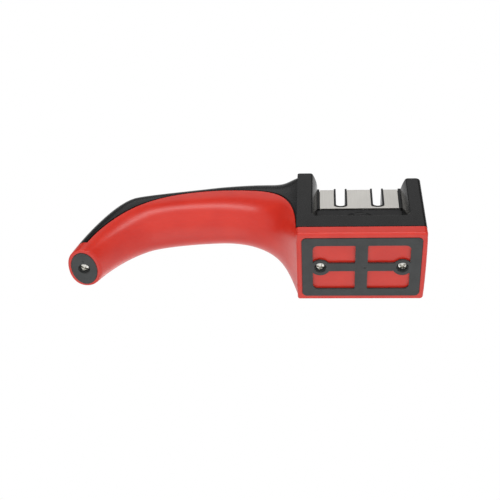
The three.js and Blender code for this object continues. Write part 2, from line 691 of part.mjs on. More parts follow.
function cartridgeHalf(side) {
  const inner = side * GAP / 2;
  const low = (depth) => Math.min(inner, side * depth);
  const high = (depth) => Math.max(inner, side * depth);
  const end = CARTRIDGE_HALF_LENGTH;
  const rimInner = STEEL_HALF_LENGTH + GAP;
  const block = box([-end, low(CARTRIDGE_HALF_DEPTH), CARTRIDGE_BOTTOM],
    [end, high(CARTRIDGE_HALF_DEPTH), CARTRIDGE_TOP - STEEL_THICKNESS - GAP]);
  const rims = [[-end, -rimInner], [rimInner, end]].map(([left, right]) => box(
    [left, low(CARTRIDGE_RIM_HALF_DEPTH), CARTRIDGE_LEDGE_Z],
    [right, high(CARTRIDGE_RIM_HALF_DEPTH), CARTRIDGE_RIM_TOP]));
  let half = block.add(union(rims)).subtract(scoop(side));
  for (const x of [-SLOT_X, SLOT_X]) {
    half = half.subtract(slotCut(x, GUIDE_HALF_WIDTH + GAP, GUIDE_BOTTOM - GAP, FAR));
  }
  half = half.subtract(abrasiveRoom());
  for (const x of [-CARTRIDGE_SCREW_X, CARTRIDGE_SCREW_X]) {
    const tip = CARTRIDGE_SCREW_FACE - CARTRIDGE_SCREW_LENGTH - 1;
    const headRoom = CARTRIDGE_SCREW_FACE - CARTRIDGE_SCREW_HEAD_HEIGHT - GAP;
    half = half
      .subtract(postY(CARTRIDGE_SCREW_SHANK + GAP, x, CARTRIDGE_SCREW_Z, tip, FAR))
      .subtract(postY(CARTRIDGE_SCREW_HEAD_RADIUS + GAP, x, CARTRIDGE_SCREW_Z, headRoom, FAR));
  }
  return half;
}

function steelCover() {
  const end = STEEL_HALF_LENGTH;
  const outer = roundedRectangle(-STEEL_OUTER, STEEL_BOTTOM, STEEL_OUTER, CARTRIDGE_TOP,
    [0, 0, STEEL_BEND_RADIUS, STEEL_BEND_RADIUS]);
  const inside = STEEL_OUTER - STEEL_THICKNESS;
  const bend = STEEL_BEND_RADIUS - STEEL_THICKNESS;
  const inner = roundedRectangle(-inside, STEEL_BOTTOM - PAST, inside,
    CARTRIDGE_TOP - STEEL_THICKNESS, [0, 0, bend, bend]);
  let cover = extrudeX(outer, -end, end).subtract(extrudeX(inner, -end - PAST, end + PAST));
  for (const x of [-SLOT_X, SLOT_X]) {
    cover = cover.subtract(slotCut(x, GUIDE_HALF_WIDTH + SNUG, LIP_BOTTOM - SNUG, FAR));
  }
  return cover;
}

// The lining of one slot: a thick channel inside the cartridge, with thin lips that
// show through the steel on both faces and stand a little above it.
function slotGuide(x) {
  const channel = (halfWidth, bottom, halfDepth) => extrudeY(
    channelShape(x, halfWidth, bottom, CARTRIDGE_RIM_TOP), -halfDepth, halfDepth);
  return channel(GUIDE_HALF_WIDTH, GUIDE_BOTTOM, GUIDE_HALF_DEPTH)
    .add(channel(GUIDE_HALF_WIDTH, LIP_BOTTOM, LIP_HALF_DEPTH))
    .subtract(slotCut(x, SLOT_HALF_WIDTH, SLOT_BOTTOM, FAR))
    .subtract(abrasiveRoom());
}

// ---------- assembly ----------

function placed(mesh, x, y, z) {
  mesh.position.set(x, y, z);
  return mesh;
}

const belowBase = box([-FAR, -FAR, -FAR], [FAR, FAR, HEAD_BOTTOM]);
const skin = handleSolid(0, 0, HANDLE_SIDES, RING_STEPS).subtract(belowBase).add(headSolid());
const hollow = hollowSolid();

const carcass = new THREE.Group();
carcass.add(piece('body_shell', bodyShell(skin, hollow), redPlastic));
carcass.add(piece('top_cover', topCover(skin, hollow), blackPlastic));
carcass.add(piece('base_pad', basePad(), greyRubber));
carcass.add(piece('foot_pad', footPad(), greyRubber));
const undersideScrews = [
  ['base_screw_left', -BASE_SCREW_X, baseScrew()],
  ['base_screw_right', BASE_SCREW_X, baseScrew()],
  ['foot_screw', FOOT_X, footScrew()],
];
for (const [name, x, solid] of undersideScrews) {
  carcass.add(placed(piece(name, solid, screwSteel), x, 0, BASE_SCREW_FACE));
}

const cartridge = new THREE.Group();
cartridge.add(piece('cartridge_front_half', cartridgeHalf(-1), blackPlastic));
cartridge.add(piece('cartridge_rear_half', cartridgeHalf(1), blackPlastic));
cartridge.add(piece('steel_cover', steelCover(), brushedSteel));
cartridge.add(piece('coarse_slot_guide', slotGuide(-SLOT_X), blackPlastic));
cartridge.add(piece('fine_slot_guide', slotGuide(SLOT_X), blackPlastic));
cartridge.add(piece('carbide_blade_front', carbideBlade(-1, 0).subtract(crossPin(SNUG)), carbide));
cartridge.add(piece('carbide_blade_rear', carbideBlade(1, 0).subtract(crossPin(SNUG)), carbide));
cartridge.add(piece('carbide_cross_pin', crossPin(0), screwSteel));
cartridge.add(piece('ceramic_rod_front', ceramicRod(-1, 0), ceramic));
cartridge.add(piece('ceramic_rod_rear', ceramicRod(1, 0), ceramic));
const cartridgeScrews = [
  ['cartridge_screw_left', -CARTRIDGE_SCREW_X],
  ['cartridge_screw_right', CARTRIDGE_SCREW_X],
];
for (const [name, x] of cartridgeScrews) {
  const screw = piece(name, cartridgeScrew(), screwSteel);
  screw.rotation.x = Math.PI / 2;
  cartridge.add(placed(screw, x, CARTRIDGE_SCREW_FACE, CARTRIDGE_SCREW_Z));
}

const sharpener = new THREE.Group();
sharpener.add(carcass, cartridge);
sharpener.position.x = -(OVERALL_LEFT + OVERALL_RIGHT) / 2;

export default sharpener;
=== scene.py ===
"""Looks of a hand-held two-slot pull-through sharpener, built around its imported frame.

Shapes are drawn in millimetres in the head's own frame: x = 0 is the middle of the head,
the handle runs towards -x, y = 0 is the plane of symmetry and z = 0 is the surface that
the tool stands on. finished() moves them into the row frame, in metres.
"""

import math

import bmesh
import bpy
from mathutils import Matrix, Vector


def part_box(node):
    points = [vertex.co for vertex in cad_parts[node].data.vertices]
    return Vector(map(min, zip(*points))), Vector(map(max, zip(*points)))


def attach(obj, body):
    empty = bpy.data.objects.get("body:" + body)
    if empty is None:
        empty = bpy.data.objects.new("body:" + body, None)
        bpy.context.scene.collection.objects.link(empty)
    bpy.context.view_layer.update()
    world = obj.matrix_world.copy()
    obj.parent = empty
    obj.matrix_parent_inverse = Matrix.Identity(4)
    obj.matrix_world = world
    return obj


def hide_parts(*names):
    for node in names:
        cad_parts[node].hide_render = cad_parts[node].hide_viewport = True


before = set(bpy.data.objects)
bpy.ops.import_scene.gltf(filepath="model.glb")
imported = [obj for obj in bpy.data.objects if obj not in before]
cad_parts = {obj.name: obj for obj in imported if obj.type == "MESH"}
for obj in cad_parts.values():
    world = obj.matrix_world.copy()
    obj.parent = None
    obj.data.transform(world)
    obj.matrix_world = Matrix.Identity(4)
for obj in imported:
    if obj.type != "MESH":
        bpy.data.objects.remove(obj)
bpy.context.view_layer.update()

# ---------- dimensions, millimetres ----------

MM = 0.001


def span(node):
    """A CAD node's lowest and highest corner, in millimetres, in the row frame."""
    low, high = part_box(node)
    return low / MM, high / MM


PAD_LOW, PAD_HIGH = span("base_pad")
HEAD_X = (PAD_LOW.x + PAD_HIGH.x) / 2          # the head's middle, in the row frame
SHELL_LOW, SHELL_HIGH = span("body_shell")
COVER_HIGH = span("top_cover")[1]
FOOT_LOW, FOOT_HIGH = span("foot_pad")
STEEL_LOW, STEEL_HIGH = span("steel_cover")
CARTRIDGE_LOW, CARTRIDGE_HIGH = span("cartridge_front_half")
SCREW_LOW, SCREW_HIGH = span("base_screw_left")
CLAMP_LOW, CLAMP_HIGH = span("cartridge_screw_left")
PIN_LOW, PIN_HIGH = span("carbide_cross_pin")
GUIDE_LOW, GUIDE_HIGH = span("coarse_slot_guide")

GAP = 0.3             # clearance between parts
WALL = 2.4            # thickness of both mouldings
PAST = 5              # how far a cutting tool runs past what it cuts
FAR = 250             # farther than any part of the tool

OVERALL_LEFT = SHELL_LOW.x - HEAD_X
OVERALL_RIGHT = SHELL_HIGH.x - HEAD_X
HALF_WIDTH = SHELL_HIGH.y
HEAD_LEFT = -36.8
HEAD_BOTTOM = SHELL_LOW.z
HEAD_EDGE_RADIUS = 1.6
HEAD_CORNER_RADIUS = 2
LEFT_CORNER = 1.4     # the base's corners under the handle
END_BULGE = 0.4       # the free end bows out in plan
END_LEAN = 0.3        # and leans in towards its top
SPLIT_Z = 7           # height of the joint between red base and black block
SMALLEST_CORNER = 0.6
BASE_TOP_EDGE = ((0, 0.25), (0.08, 0.06), (0.25, 0))   # inset and drop, softened upper edge
LEFT_POST_TOP = 60.7
RIGHT_POST_TOP = 54.7
LEFT_POST_ROUND = 1.5
RIGHT_POST_ROUND = 2
POST_CORNER = 1.2

RECESS_FLOOR = 17.6
RECESS_HALF_OUTER = 28
RECESS_HALF_INNER = 25
RECESS_FLARE_START = 15
RECESS_FLARE_POWER = 1.7
RECESS_CORNER = 3
RECESS_LIP = 0.7
SOCKET_FLOOR = 12.3
SOCKET_HALF_DEPTH = 13.7
SOCKET_UNDERSIDE = 9.8
SOCKET_BLOCK_DROP = 0.5

PAD_HALF_LENGTH = (PAD_HIGH.x - PAD_LOW.x) / 2
PAD_HALF_WIDTH = PAD_HIGH.y
PAD_THICKNESS = 1.2
PAD_CORNER_RADIUS = 2.6
PAD_BAR_HALF_X = 3.5
PAD_BAR_FRONT = -3.1
PAD_BAR_REAR = 2.4
WINDOW_END_X = 27.7
WINDOW_END_Y = 16.2
WINDOW_CORNER = 3
WINDOW_INNER_CORNER = 0.8
PAD_BOSS_RADIUS = 5.5
LINER_RADIUS = 4.2
LINER_STEP = 1.7      # above this the liner closes in round the screw's head
PAD_GATE = (1.9, 0)
GATE_PROFILE = [(0, -1), (1.5, -1), (1.05, 0), (0.8, 0.22), (0.45, 0.4), (0, 0.45)]
PAD_BEVEL = 0.5
CARTRIDGE_BEVEL = 0.3
GUIDE_BEVEL = 0.16
BLADE_BEVEL = 0.12
STEEL_BEVEL = 0.1

FOOT_X = (FOOT_LOW.x + FOOT_HIGH.x) / 2 - HEAD_X
FOOT_HALF_X = (FOOT_HIGH.x - FOOT_LOW.x) / 2
FOOT_HALF_Y = FOOT_HIGH.y
FOOT_THICKNESS = 1.8
FOOT_RIM_RADIUS = 0.8
FOOT_RIM_LEAN = 0.2   # the rim follows the handle forwards as it rises
FOOT_GATE_Y = -5.6
FOOT_BEVEL = 0.6

SCREW_HEAD_RADIUS = SCREW_HIGH.y
SCREW_HEAD_HEIGHT = 1.9
SCREW_SHANK_RADIUS = 1.4
SCREW_FACE = SCREW_LOW.z
BASE_SCREW_X = HEAD_X - (SCREW_LOW.x + SCREW_HIGH.x) / 2
COUNTERBORE_RADIUS = 3.6
SEAT_Z = SCREW_FACE + SCREW_HEAD_HEIGHT + GAP
SEAT_THICKNESS = 1.6
WELL_RADIUS = LINER_RADIUS + GAP
BOSS_RADIUS = 3.6
FOOT_BOSS_BOTTOM = 8
FOOT_BOSS_TOP = 24
FOOT_HOLE_TOP = 16
SHELL_HOLE_TOP = 12

CARTRIDGE_BOTTOM = CARTRIDGE_LOW.z
CARTRIDGE_RIM_TOP = CARTRIDGE_HIGH.z
CARTRIDGE_HALF_LENGTH = (CARTRIDGE_HIGH.x - CARTRIDGE_LOW.x) / 2
CARTRIDGE_HALF_DEPTH = 13.3
CARTRIDGE_RIM_DEPTH = 14.3
CARTRIDGE_LEDGE_Z = 37.8
STEEL_TOP = STEEL_HIGH.z
STEEL_BOTTOM = STEEL_LOW.z
STEEL_HALF_LENGTH = (STEEL_HIGH.x - STEEL_LOW.x) / 2
STEEL_OUTER = STEEL_HIGH.y
STEEL_THICKNESS = 0.6
STEEL_BEND = 0.9
SLOT_X = 11
SLOT_HALF_WIDTH = 2.75
SLOT_BOTTOM = 40.4
SLOT_BOTTOM_RISE = 1.8
GUIDE_HALF_WIDTH = 3.9
GUIDE_BOTTOM = GUIDE_LOW.z
GUIDE_HALF_DEPTH = 13
LIP_BOTTOM = 39.9
LIP_HALF_DEPTH = GUIDE_HIGH.y
SNUG = 0.1
SCOOP_Z = 26.1
SCOOP_RADIUS = 21
SCOOP_DEPTH = 2.4
CLAMP_X = 17.5
CLAMP_Z = (CLAMP_LOW.z + CLAMP_HIGH.z) / 2
CLAMP_FACE = CLAMP_HIGH.y
CLAMP_LENGTH = CLAMP_HIGH.y - CLAMP_LOW.y
CLAMP_HEAD_RADIUS = (CLAMP_HIGH.z - CLAMP_LOW.z) / 2
CLAMP_HEAD_HEIGHT = 1.6
CLAMP_SHANK = 1.1

VEE_LEAN = math.radians(20)
VEE_BOTTOM = 44.3
VEE_BAR_RISE = 2.5
CARBIDE_SIZE = (5, 2, 17)
CARBIDE_PLANE_Y = 1.4
CERAMIC_RADIUS = 2
CERAMIC_LENGTH = 17
CERAMIC_EDGE = 0.35
CERAMIC_PLANE_Y = 2.4
PIN_Z = (PIN_LOW.z + PIN_HIGH.z) / 2
PIN_RADIUS = (PIN_HIGH.z - PIN_LOW.z) / 2
PIN_HALF_LENGTH = PIN_HIGH.y
PIN_EDGE = 0.2

# The handle in side view (x, z): three cubic curves each for its back and its palm, given
# as start, two handles and end. The palm ends where the base's rounded edge begins.
CREST_X = -85
BACK_OUTLINE = [
    [(OVERALL_LEFT, HEAD_BOTTOM), (-166, 20), (-150.5, 52.3), (-139, 56.8)],
    [(-139, 56.8), (-133, 59), (-114, 61.8), (CREST_X, 67.6)],
    [(CREST_X, 67.6), (-62, 71.6), (-48, 70.6), (HEAD_LEFT, LEFT_POST_TOP - 0.6)],
]
PALM_OUTLINE = [
    [(-152, HEAD_BOTTOM), (-145, 10.8), (-136, 21.8), (-124, 27.8)],
    [(-124, 27.8), (-114, 31.8), (-100, 33.8), (CREST_X, 33.8)],
    [(CREST_X, 33.8), (-61, 33.8), (-46, 22.8), (HEAD_LEFT, HEAD_BOTTOM + 0.4)],
]
FOOT_END_HALF_WIDTH = 13.4
GRIP_HALF_WIDTH = 16.7
FLARE_EXPONENT = 2.7
GRIP_POWER = 2.2
HEAD_POWER = 8
SQUARING_EXPONENT = 12
TUCK_LENGTH = 2.8
TUCK_INSET = 0.4

JOINT_CREST = (-82, 54.7)
JOINT_LINE = [
    [(-159, 8), (-150, 30), (-124, 54.7), JOINT_CREST],
    [JOINT_CREST, (-55, 54.7), (-37.5, 46.3), (HEAD_LEFT - 0.2, SPLIT_Z)],
]
COLLAR_CUT = (-175, 11.8)
GROOVE_HALF_WIDTH = 0.45   # a fine groove follows the joint between red and black
GROOVE_DEPTH = 0.7

# Screws: shares of the head's radius and height, and the thread in millimetres.
DOME_RISE = 0.55
RECESS_ARM = 0.74
RECESS_SLIT = 0.20
RECESS_DEPTH = 0.92
RECESS_CORE = 0.34
RECESS_TAPER = (0.72, 0.80)   # the cross's length and width at its floor
THREAD_PITCH = 0.8
THREAD_START = 0.6
THREAD_ROOT = 0.78
TIP_RADIUS = 0.35             # as a share of the shank's radius
TIP_CONE = 0.15
ABOVE_FACE = 0.3              # how far the recess cutters start outside the head
SCREW_TURNS = {"base_screw_left": 0.28, "base_screw_right": 0.72, "foot_screw": 0.5}

SKIN_START = 0.035    # where the skin takes over from the foot's rounded rim
RINGS = 48            # rings in each of the handle's three stretches
SIDES = 112           # points round a ring
ARC = 8               # segments of a rounded corner
ROUND = 48            # segments of a round piece


# ---------- mesh helpers ----------

def mesh_object(name, vertices, faces):
    mesh = bpy.data.meshes.new(name)
    mesh.from_pydata([tuple(v) for v in vertices], [], faces)
    mesh.validate()
    made = bmesh.new()
    made.from_mesh(mesh)
    bmesh.ops.recalc_face_normals(made, faces=made.faces)
    made.to_mesh(mesh)
    made.free()
    piece = bpy.data.objects.new(name, mesh)
    bpy.context.scene.collection.objects.link(piece)
    return piece


def loft(name, loops):
    """A closed solid through loops that all have the same number of points."""
    count = len(loops[0])
    vertices = [point for loop in loops for point in loop]
    faces = []
    for row in range(len(loops) - 1):
        for i in range(count):
            j = (i + 1) % count
            a, b = row * count, (row + 1) * count
            faces.append((a + i, a + j, b + j, b + i))
    faces.append(tuple(range(count)))
    faces.append(tuple(range((len(loops) - 1) * count, len(loops) * count)))
    return mesh_object(name, vertices, faces)


def prism_z(outline, low, high):
    return loft("prism", [[(x, y, z) for x, y in outline] for z in (low, high)])


def prism_y(outline, low, high):
    return loft("prism", [[(x, y, z) for x, z in outline] for y in (low, high)])


def prism_x(outline, low, high):
    return loft("prism", [[(x, y, z) for y, z in outline] for x in (low, high)])


def block(low, high):
    return prism_z([(low[0], low[1]), (high[0], low[1]), (high[0], high[1]),
                    (low[0], high[1])], low[2], high[2])


def circle(radius, x=0, y=0, count=ROUND):
    turns = [2 * math.pi * i / count for i in range(count)]
    return [(x + radius * math.cos(t), y + radius * math.sin(t)) for t in turns]


def ellipse(x, half_x, half_y, count=2 * ROUND):
    turns = [2 * math.pi * i / count for i in range(count)]
    return [(x + half_x * math.cos(t), half_y * math.sin(t)) for t in turns]


def arc(x, y, radius, start, end, count=ARC):
    """Points of an arc; start and end are in degrees."""
    turns = [math.radians(start + (end - start) * i / count) for i in range(count + 1)]
    return [(x + radius * math.cos(t), y + radius * math.sin(t)) for t in turns]


def rounded(left, low, right, high, radii):
    """A rectangle with four corner radii, from the lower left round."""
    a, b, c, d = (max(radius, 0.01) for radius in radii)
    return (arc(left + a, low + a, a, 180, 270) + arc(right - b, low + b, b, 270, 360)
            + arc(right - c, high - c, c, 0, 90) + arc(left + d, high - d, d, 90, 180))


def rounded_edge(radius):
    """Pairs of inset and lift along a quarter round, from the flat face outwards."""
    turns = [math.pi / 2 * step / ARC for step in range(ARC + 1)]
    return [(radius * (1 - math.sin(t)), radius * (1 - math.cos(t))) for t in turns]


def lathe(profile, count=ROUND):
    """A closed turned solid about z. The profile is (radius, z), from axis to axis."""
    vertices = [(0, 0, profile[0][1]), (0, 0, profile[-1][1])]
    rows = profile[1:-1]
    for radius, z in rows:
        vertices += [(x, y, z) for x, y in circle(radius, count=count)]
    faces = []
    for i in range(count):
        j = (i + 1) % count
        faces.append((0, 2 + j, 2 + i))
        last = 2 + (len(rows) - 1) * count
        faces.append((1, last + i, last + j))
        for row in range(len(rows) - 1):
            a, b = 2 + row * count, 2 + (row + 1) * count
            faces.append((a + i, a + j, b + j, b + i))
    return mesh_object("lathe", vertices, faces)


def moved(piece, matrix):
    piece.data.transform(matrix)
    return piece


def baked(piece):
    """The piece with its modifiers applied to its mesh."""
    bpy.context.view_layer.update()
    graph = bpy.context.evaluated_depsgraph_get()
    mesh = bpy.data.meshes.new_from_object(piece.evaluated_get(graph))
    old = piece.data
    piece.modifiers.clear()
    piece.data = mesh
    bpy.data.meshes.remove(old)
    return piece


def combined(piece, tool, operation, keep=False):
    change = piece.modifiers.new("change", "BOOLEAN")
    change.operation = operation
    change.solver = "MANIFOLD"
    change.object = tool
    baked(piece)
    if not keep:
        bpy.data.objects.remove(tool)
    return piece


def cut(piece, *tools):
    for tool in tools:
        combined(piece, tool, "DIFFERENCE")
    return piece


def join(piece, *tools):
    for tool in tools:
        combined(piece, tool, "UNION")
    return piece


def flattened(piece, degrees=0.4):
    """Joins the triangles of each flat face, so that a bevel meets clean edges."""
    made = bmesh.new()
    made.from_mesh(piece.data)
    bmesh.ops.remove_doubles(made, verts=made.verts, dist=0.004)
    bmesh.ops.dissolve_limit(made, angle_limit=math.radians(degrees), verts=made.verts,
                             edges=made.edges)
    made.to_mesh(piece.data)
    made.free()
    return piece


def bevelled(piece, width, segments=3, degrees=40):
    flattened(piece)
    change = piece.modifiers.new("edges", "BEVEL")
    change.width = width
    change.segments = segments
    change.limit_method = "ANGLE"
    change.angle_limit = math.radians(degrees)
    change.use_clamp_overlap = True
    change.miter_outer = "MITER_ARC"
    return baked(piece)


def finished(piece, name, material, body, nodes, sharp=32):
    """Puts a piece into the row frame with its normals, material, body and CAD nodes."""
    flattened(piece, 0.05)
    piece.data.transform(Matrix.Translation((HEAD_X, 0, 0)))
    piece.data.transform(Matrix.Scale(MM, 4))
    piece.name = name
    piece.data.name = name
    made = bmesh.new()
    made.from_mesh(piece.data)
    for face in made.faces:
        face.smooth = True
    for edge in made.edges:
        edge.smooth = len(edge.link_faces) == 2 and edge.calc_face_angle() < math.radians(sharp)
    made.to_mesh(piece.data)
    made.free()
    weights = piece.modifiers.new("normals", "WEIGHTED_NORMAL")
    weights.mode = "FACE_AREA_WITH_ANGLE"
    weights.weight = 80
    weights.keep_sharp = True
    piece.data.materials.clear()
    piece.data.materials.append(material)
    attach(piece, body)
    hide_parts(*nodes)
    return piece


# ---------- materials ----------

class Surface:
    """A principled material whose nodes read the piece's own coordinates in mm."""

    def __init__(self, name, **constants):
        self.material = bpy.data.materials.new(name)
        self.material.use_nodes = True
        self.tree = self.material.node_tree
        self.shader = self.tree.nodes["Principled BSDF"]
        for socket, value in constants.items():
            self.shader.inputs[socket.replace("_", " ")].default_value = value
        self.place = self.tree.nodes.new("ShaderNodeTexCoord").outputs["Object"]
        self.height = None

    def link(self, source, target):
        self.tree.links.new(source, target)

    def stretched(self, x, y, z):
        """The coordinates, in cycles per millimetre along each axis."""
        node = self.tree.nodes.new("ShaderNodeMapping")
        node.inputs["Scale"].default_value = (x / MM, y / MM, z / MM)
        self.link(self.place, node.inputs["Vector"])
        return node.outputs["Vector"]

    def noise(self, scale, detail=3, roughness=0.5, distortion=0):
        """Noise from 0 to 1. scale is cycles per mm, one number or one for each axis."""
        scales = scale if isinstance(scale, tuple) else (scale, scale, scale)
        node = self.tree.nodes.new("ShaderNodeTexNoise")
        node.inputs["Scale"].default_value = 1
        node.inputs["Detail"].default_value = detail
        node.inputs["Roughness"].default_value = roughness
        node.inputs["Distortion"].default_value = distortion
        self.link(self.stretched(*scales), node.inputs["Vector"])
        return node.outputs["Fac"]

    def cells(self, scale):
        """Distance to the nearest point of a scattered pattern."""
        node = self.tree.nodes.new("ShaderNodeTexVoronoi")
        node.inputs["Scale"].default_value = 1
        self.link(self.stretched(scale, scale, scale), node.inputs["Vector"])
        return node.outputs["Distance"]

    def ranged(self, value, low, high, start=0.3, end=0.7):
        node = self.tree.nodes.new("ShaderNodeMapRange")
        node.inputs["From Min"].default_value = start
        node.inputs["From Max"].default_value = end
        node.inputs["To Min"].default_value = low
        node.inputs["To Max"].default_value = high
        self.link(value, node.inputs["Value"])
        return node.outputs["Result"]

    def mixed(self, value, first, second):
        node = self.tree.nodes.new("ShaderNodeMix")
        node.data_type = "RGBA"
        node.inputs[6].default_value = (*first, 1)
        node.inputs[7].default_value = (*second, 1)
        self.link(value, node.inputs[0])
        return node.outputs[2]

    def colour(self, value, first, second):
        self.link(self.mixed(value, first, second), self.shader.inputs["Base Color"])

    def roughness(self, value, low, high):
        self.link(self.ranged(value, low, high), self.shader.inputs["Roughness"])

    def bump(self, value, depth_mm, strength=1.0):
        """Adds relief. Several calls lie on top of each other."""
        node = self.tree.nodes.new("ShaderNodeBump")
        node.inputs["Strength"].default_value = strength
        node.inputs["Distance"].default_value = depth_mm * MM
        self.link(value, node.inputs["Height"])
        if self.height is not None:
            self.link(self.height, node.inputs["Normal"])
        self.height = node.outputs["Normal"]
        self.link(self.height, self.shader.inputs["Normal"])


def red_plastic():
    surface = Surface("red_plastic", IOR=1.46, Coat_Weight=0.15, Coat_Roughness=0.2)
    surface.colour(surface.ranged(surface.noise(0.06), 0, 1),
                   (0.55, 0.018, 0.008), (0.61, 0.025, 0.011))
    surface.roughness(surface.noise(0.35, detail=6, roughness=0.65), 0.29, 0.39)
    surface.bump(surface.noise(0.45, detail=2), 0.012)
    surface.bump(surface.noise(5, detail=3), 0.003)
    return surface.material


def black_plastic():
    surface = Surface("black_plastic", IOR=1.42, Specular_IOR_Level=0.34)
    surface.colour(surface.ranged(surface.noise(0.09), 0, 1),
                   (0.0055, 0.0055, 0.0057), (0.0085, 0.0085, 0.0088))
    surface.roughness(surface.noise(0.5, detail=6, roughness=0.6), 0.22, 0.31)
    surface.bump(surface.cells(4.2), 0.0025)
    surface.bump(surface.noise(1.1, detail=4), 0.0025)
    return surface.material


def cartridge_plastic():
    surface = Surface("cartridge_plastic", IOR=1.42, Specular_IOR_Level=0.34)
    surface.colour(surface.ranged(surface.noise(0.15), 0, 1),
                   (0.0045, 0.0045, 0.005), (0.007, 0.007, 0.0075))
    surface.roughness(surface.noise(0.8, detail=5), 0.26, 0.36)
    surface.bump(surface.noise(2.5, detail=4), 0.006)
    return surface.material


def grey_rubber():
    surface = Surface("grey_rubber", IOR=1.45, Sheen_Weight=0.15, Sheen_Roughness=0.5)
    surface.colour(surface.ranged(surface.noise(0.12), 0, 1),
                   (0.029, 0.031, 0.031), (0.038, 0.041, 0.041))
    surface.roughness(surface.noise(0.9, detail=5, roughness=0.6), 0.60, 0.74)
    surface.bump(surface.cells(2.6), 0.012)
    surface.bump(surface.noise(0.5, detail=3), 0.020)
    return surface.material


def brushed_steel():
    surface = Surface("brushed_steel", Metallic=1.0, Anisotropic=0.45)
    grain = surface.noise((7, 0.09, 0.05), detail=5, roughness=0.7)
    cloud = surface.noise(0.10, detail=2)
    surface.colour(surface.ranged(grain, 0, 1), (0.62, 0.60, 0.56), (0.82, 0.80, 0.76))
    blended = surface.tree.nodes.new("ShaderNodeMath")
    blended.operation = "MULTIPLY_ADD"
    blended.inputs[1].default_value = 0.35
    surface.link(cloud, blended.inputs[0])
    surface.link(surface.ranged(grain, 0.10, 0.55), blended.inputs[2])
    surface.roughness(blended.outputs[0], 0.30, 0.46)
    surface.bump(grain, 0.006)
    return surface.material


def screw_steel():
    surface = Surface("screw_steel", Metallic=1.0)
    surface.colour(surface.ranged(surface.noise(0.8, detail=4), 0, 1),
                   (0.55, 0.54, 0.50), (0.72, 0.71, 0.67))
    surface.roughness(surface.noise(2.2, detail=5), 0.14, 0.26)
    surface.bump(surface.noise(3, detail=4), 0.003)
    return surface.material


def carbide():
    surface = Surface("carbide", Metallic=1.0, Anisotropic=0.3)
    lines = surface.noise((0.4, 0.4, 9), detail=4, roughness=0.7)
    surface.colour(surface.ranged(lines, 0, 1), (0.17, 0.17, 0.18), (0.27, 0.27, 0.28))
    surface.roughness(surface.noise(1.8, detail=5), 0.26, 0.44)
    surface.bump(lines, 0.005)
    return surface.material


def white_ceramic():
    surface = Surface("white_ceramic", IOR=1.6)
    surface.colour(surface.ranged(surface.noise(0.5, detail=5), 0, 1),
                   (0.78, 0.75, 0.68), (0.87, 0.85, 0.79))
    surface.roughness(surface.noise(1.5, detail=6), 0.42, 0.62)
    surface.bump(surface.noise(4, detail=4), 0.010)
    return surface.material


RED = red_plastic()
BLACK = black_plastic()
CARTRIDGE = cartridge_plastic()
RUBBER = grey_rubber()
STEEL = brushed_steel()
SCREW = screw_steel()
CARBIDE = carbide()
CERAMIC = white_ceramic()


# ---------- the handle ----------

def cubic(points, t):
    a, b, c, d = (Vector(point) for point in points)
    s = 1 - t
    return s ** 3 * a + 3 * s * s * t * b + 3 * s * t * t * c + t ** 3 * d


def outline_point(outline, station):
    """The whole part of station picks the curve, the rest is how far along it.

    Past the last curve the outline is tucked into the head, the back twice as far.
    """
    last = len(outline)
    if station > last:
        x, z = outline[-1][3]
        inwards = -2 * TUCK_INSET if outline is BACK_OUTLINE else TUCK_INSET
        return Vector((x + TUCK_LENGTH, z + inwards))
    index = min(int(station), last - 1)
    return cubic(outline[index], station - index)


def section_size(station, x):
    """Half width and super-ellipse power of the handle's section."""
    flare = min(1, max(0, (x - CREST_X) / (HEAD_LEFT - CREST_X)))
    along = min(1, station)
    swell = along * along * (3 - 2 * along)
    grip = FOOT_END_HALF_WIDTH + (GRIP_HALF_WIDTH - FOOT_END_HALF_WIDTH) * swell
    tuck = TUCK_INSET if station > len(BACK_OUTLINE) else 0
    half = grip + (HALF_WIDTH - GRIP_HALF_WIDTH) * flare ** FLARE_EXPONENT - tuck
    power = GRIP_POWER + (HEAD_POWER - GRIP_POWER) * flare ** SQUARING_EXPONENT
    return half, power


def signed_power(value, power):
    return 0 if abs(value) < 1e-9 else math.copysign(abs(value) ** power, value)


def ring(station, inset, sides):
    back = outline_point(BACK_OUTLINE, station)
    palm = outline_point(PALM_OUTLINE, station)
    half, power = section_size(station, back.x)
    middle = (back + palm) / 2
    up = (back - palm) / 2
    up *= 1 - inset / up.length
    points = []
    for i in range(sides):
        turn = 2 * math.pi * i / sides
        across = signed_power(math.cos(turn), 2 / power)
        upward = signed_power(math.sin(turn), 2 / power)
        place = middle + up * upward
        points.append((place.x, -(half - inset) * across, min(place.y, COVER_HIGH.z)))
    return points


def foot_rim():
    """Rings that round the foot's lower edge."""
    rings = []
    for inset, lift in rounded_edge(FOOT_RIM_RADIUS)[:-1]:
        rings.append([(x + FOOT_RIM_LEAN * lift, y, z + lift) for x, y, z in ring(0, inset, SIDES)])
    return rings


def along_handle(first, steps):
    """Places along the handle as far as the head, and a last one tucked inside the head."""
    count = len(BACK_OUTLINE)
    return [first + (count - first) * i / steps for i in range(steps + 1)] + [count + 1]


def handle_skin():
    places = along_handle(SKIN_START, RINGS * len(BACK_OUTLINE))
    return loft("skin", foot_rim() + [ring(s, 0, SIDES) for s in places])


def handle_core(name, inset, first, steps, sides):
    """The handle drawn in by inset, to be cut away."""
    return loft(name, [ring(s, inset, sides) for s in along_handle(first, steps)])


def handle_hollow():
    return handle_core("hollow", WALL, first=0.1, steps=40, sides=48)


def joint_groove():
    """A band along the joint, less the handle's inside: it cuts only the outer surface."""
    band = joint_points(GROOVE_HALF_WIDTH) + list(reversed(joint_points(-GROOVE_HALF_WIDTH)))
    groove = prism_y(band, -FAR, FAR)
    core = handle_core("core", GROOVE_DEPTH, first=0.02, steps=80, sides=96)
    head = block((HEAD_LEFT - 0.5, -FAR, -PAST), (OVERALL_RIGHT + PAST, FAR, FAR))
    return cut(groove, core, head)


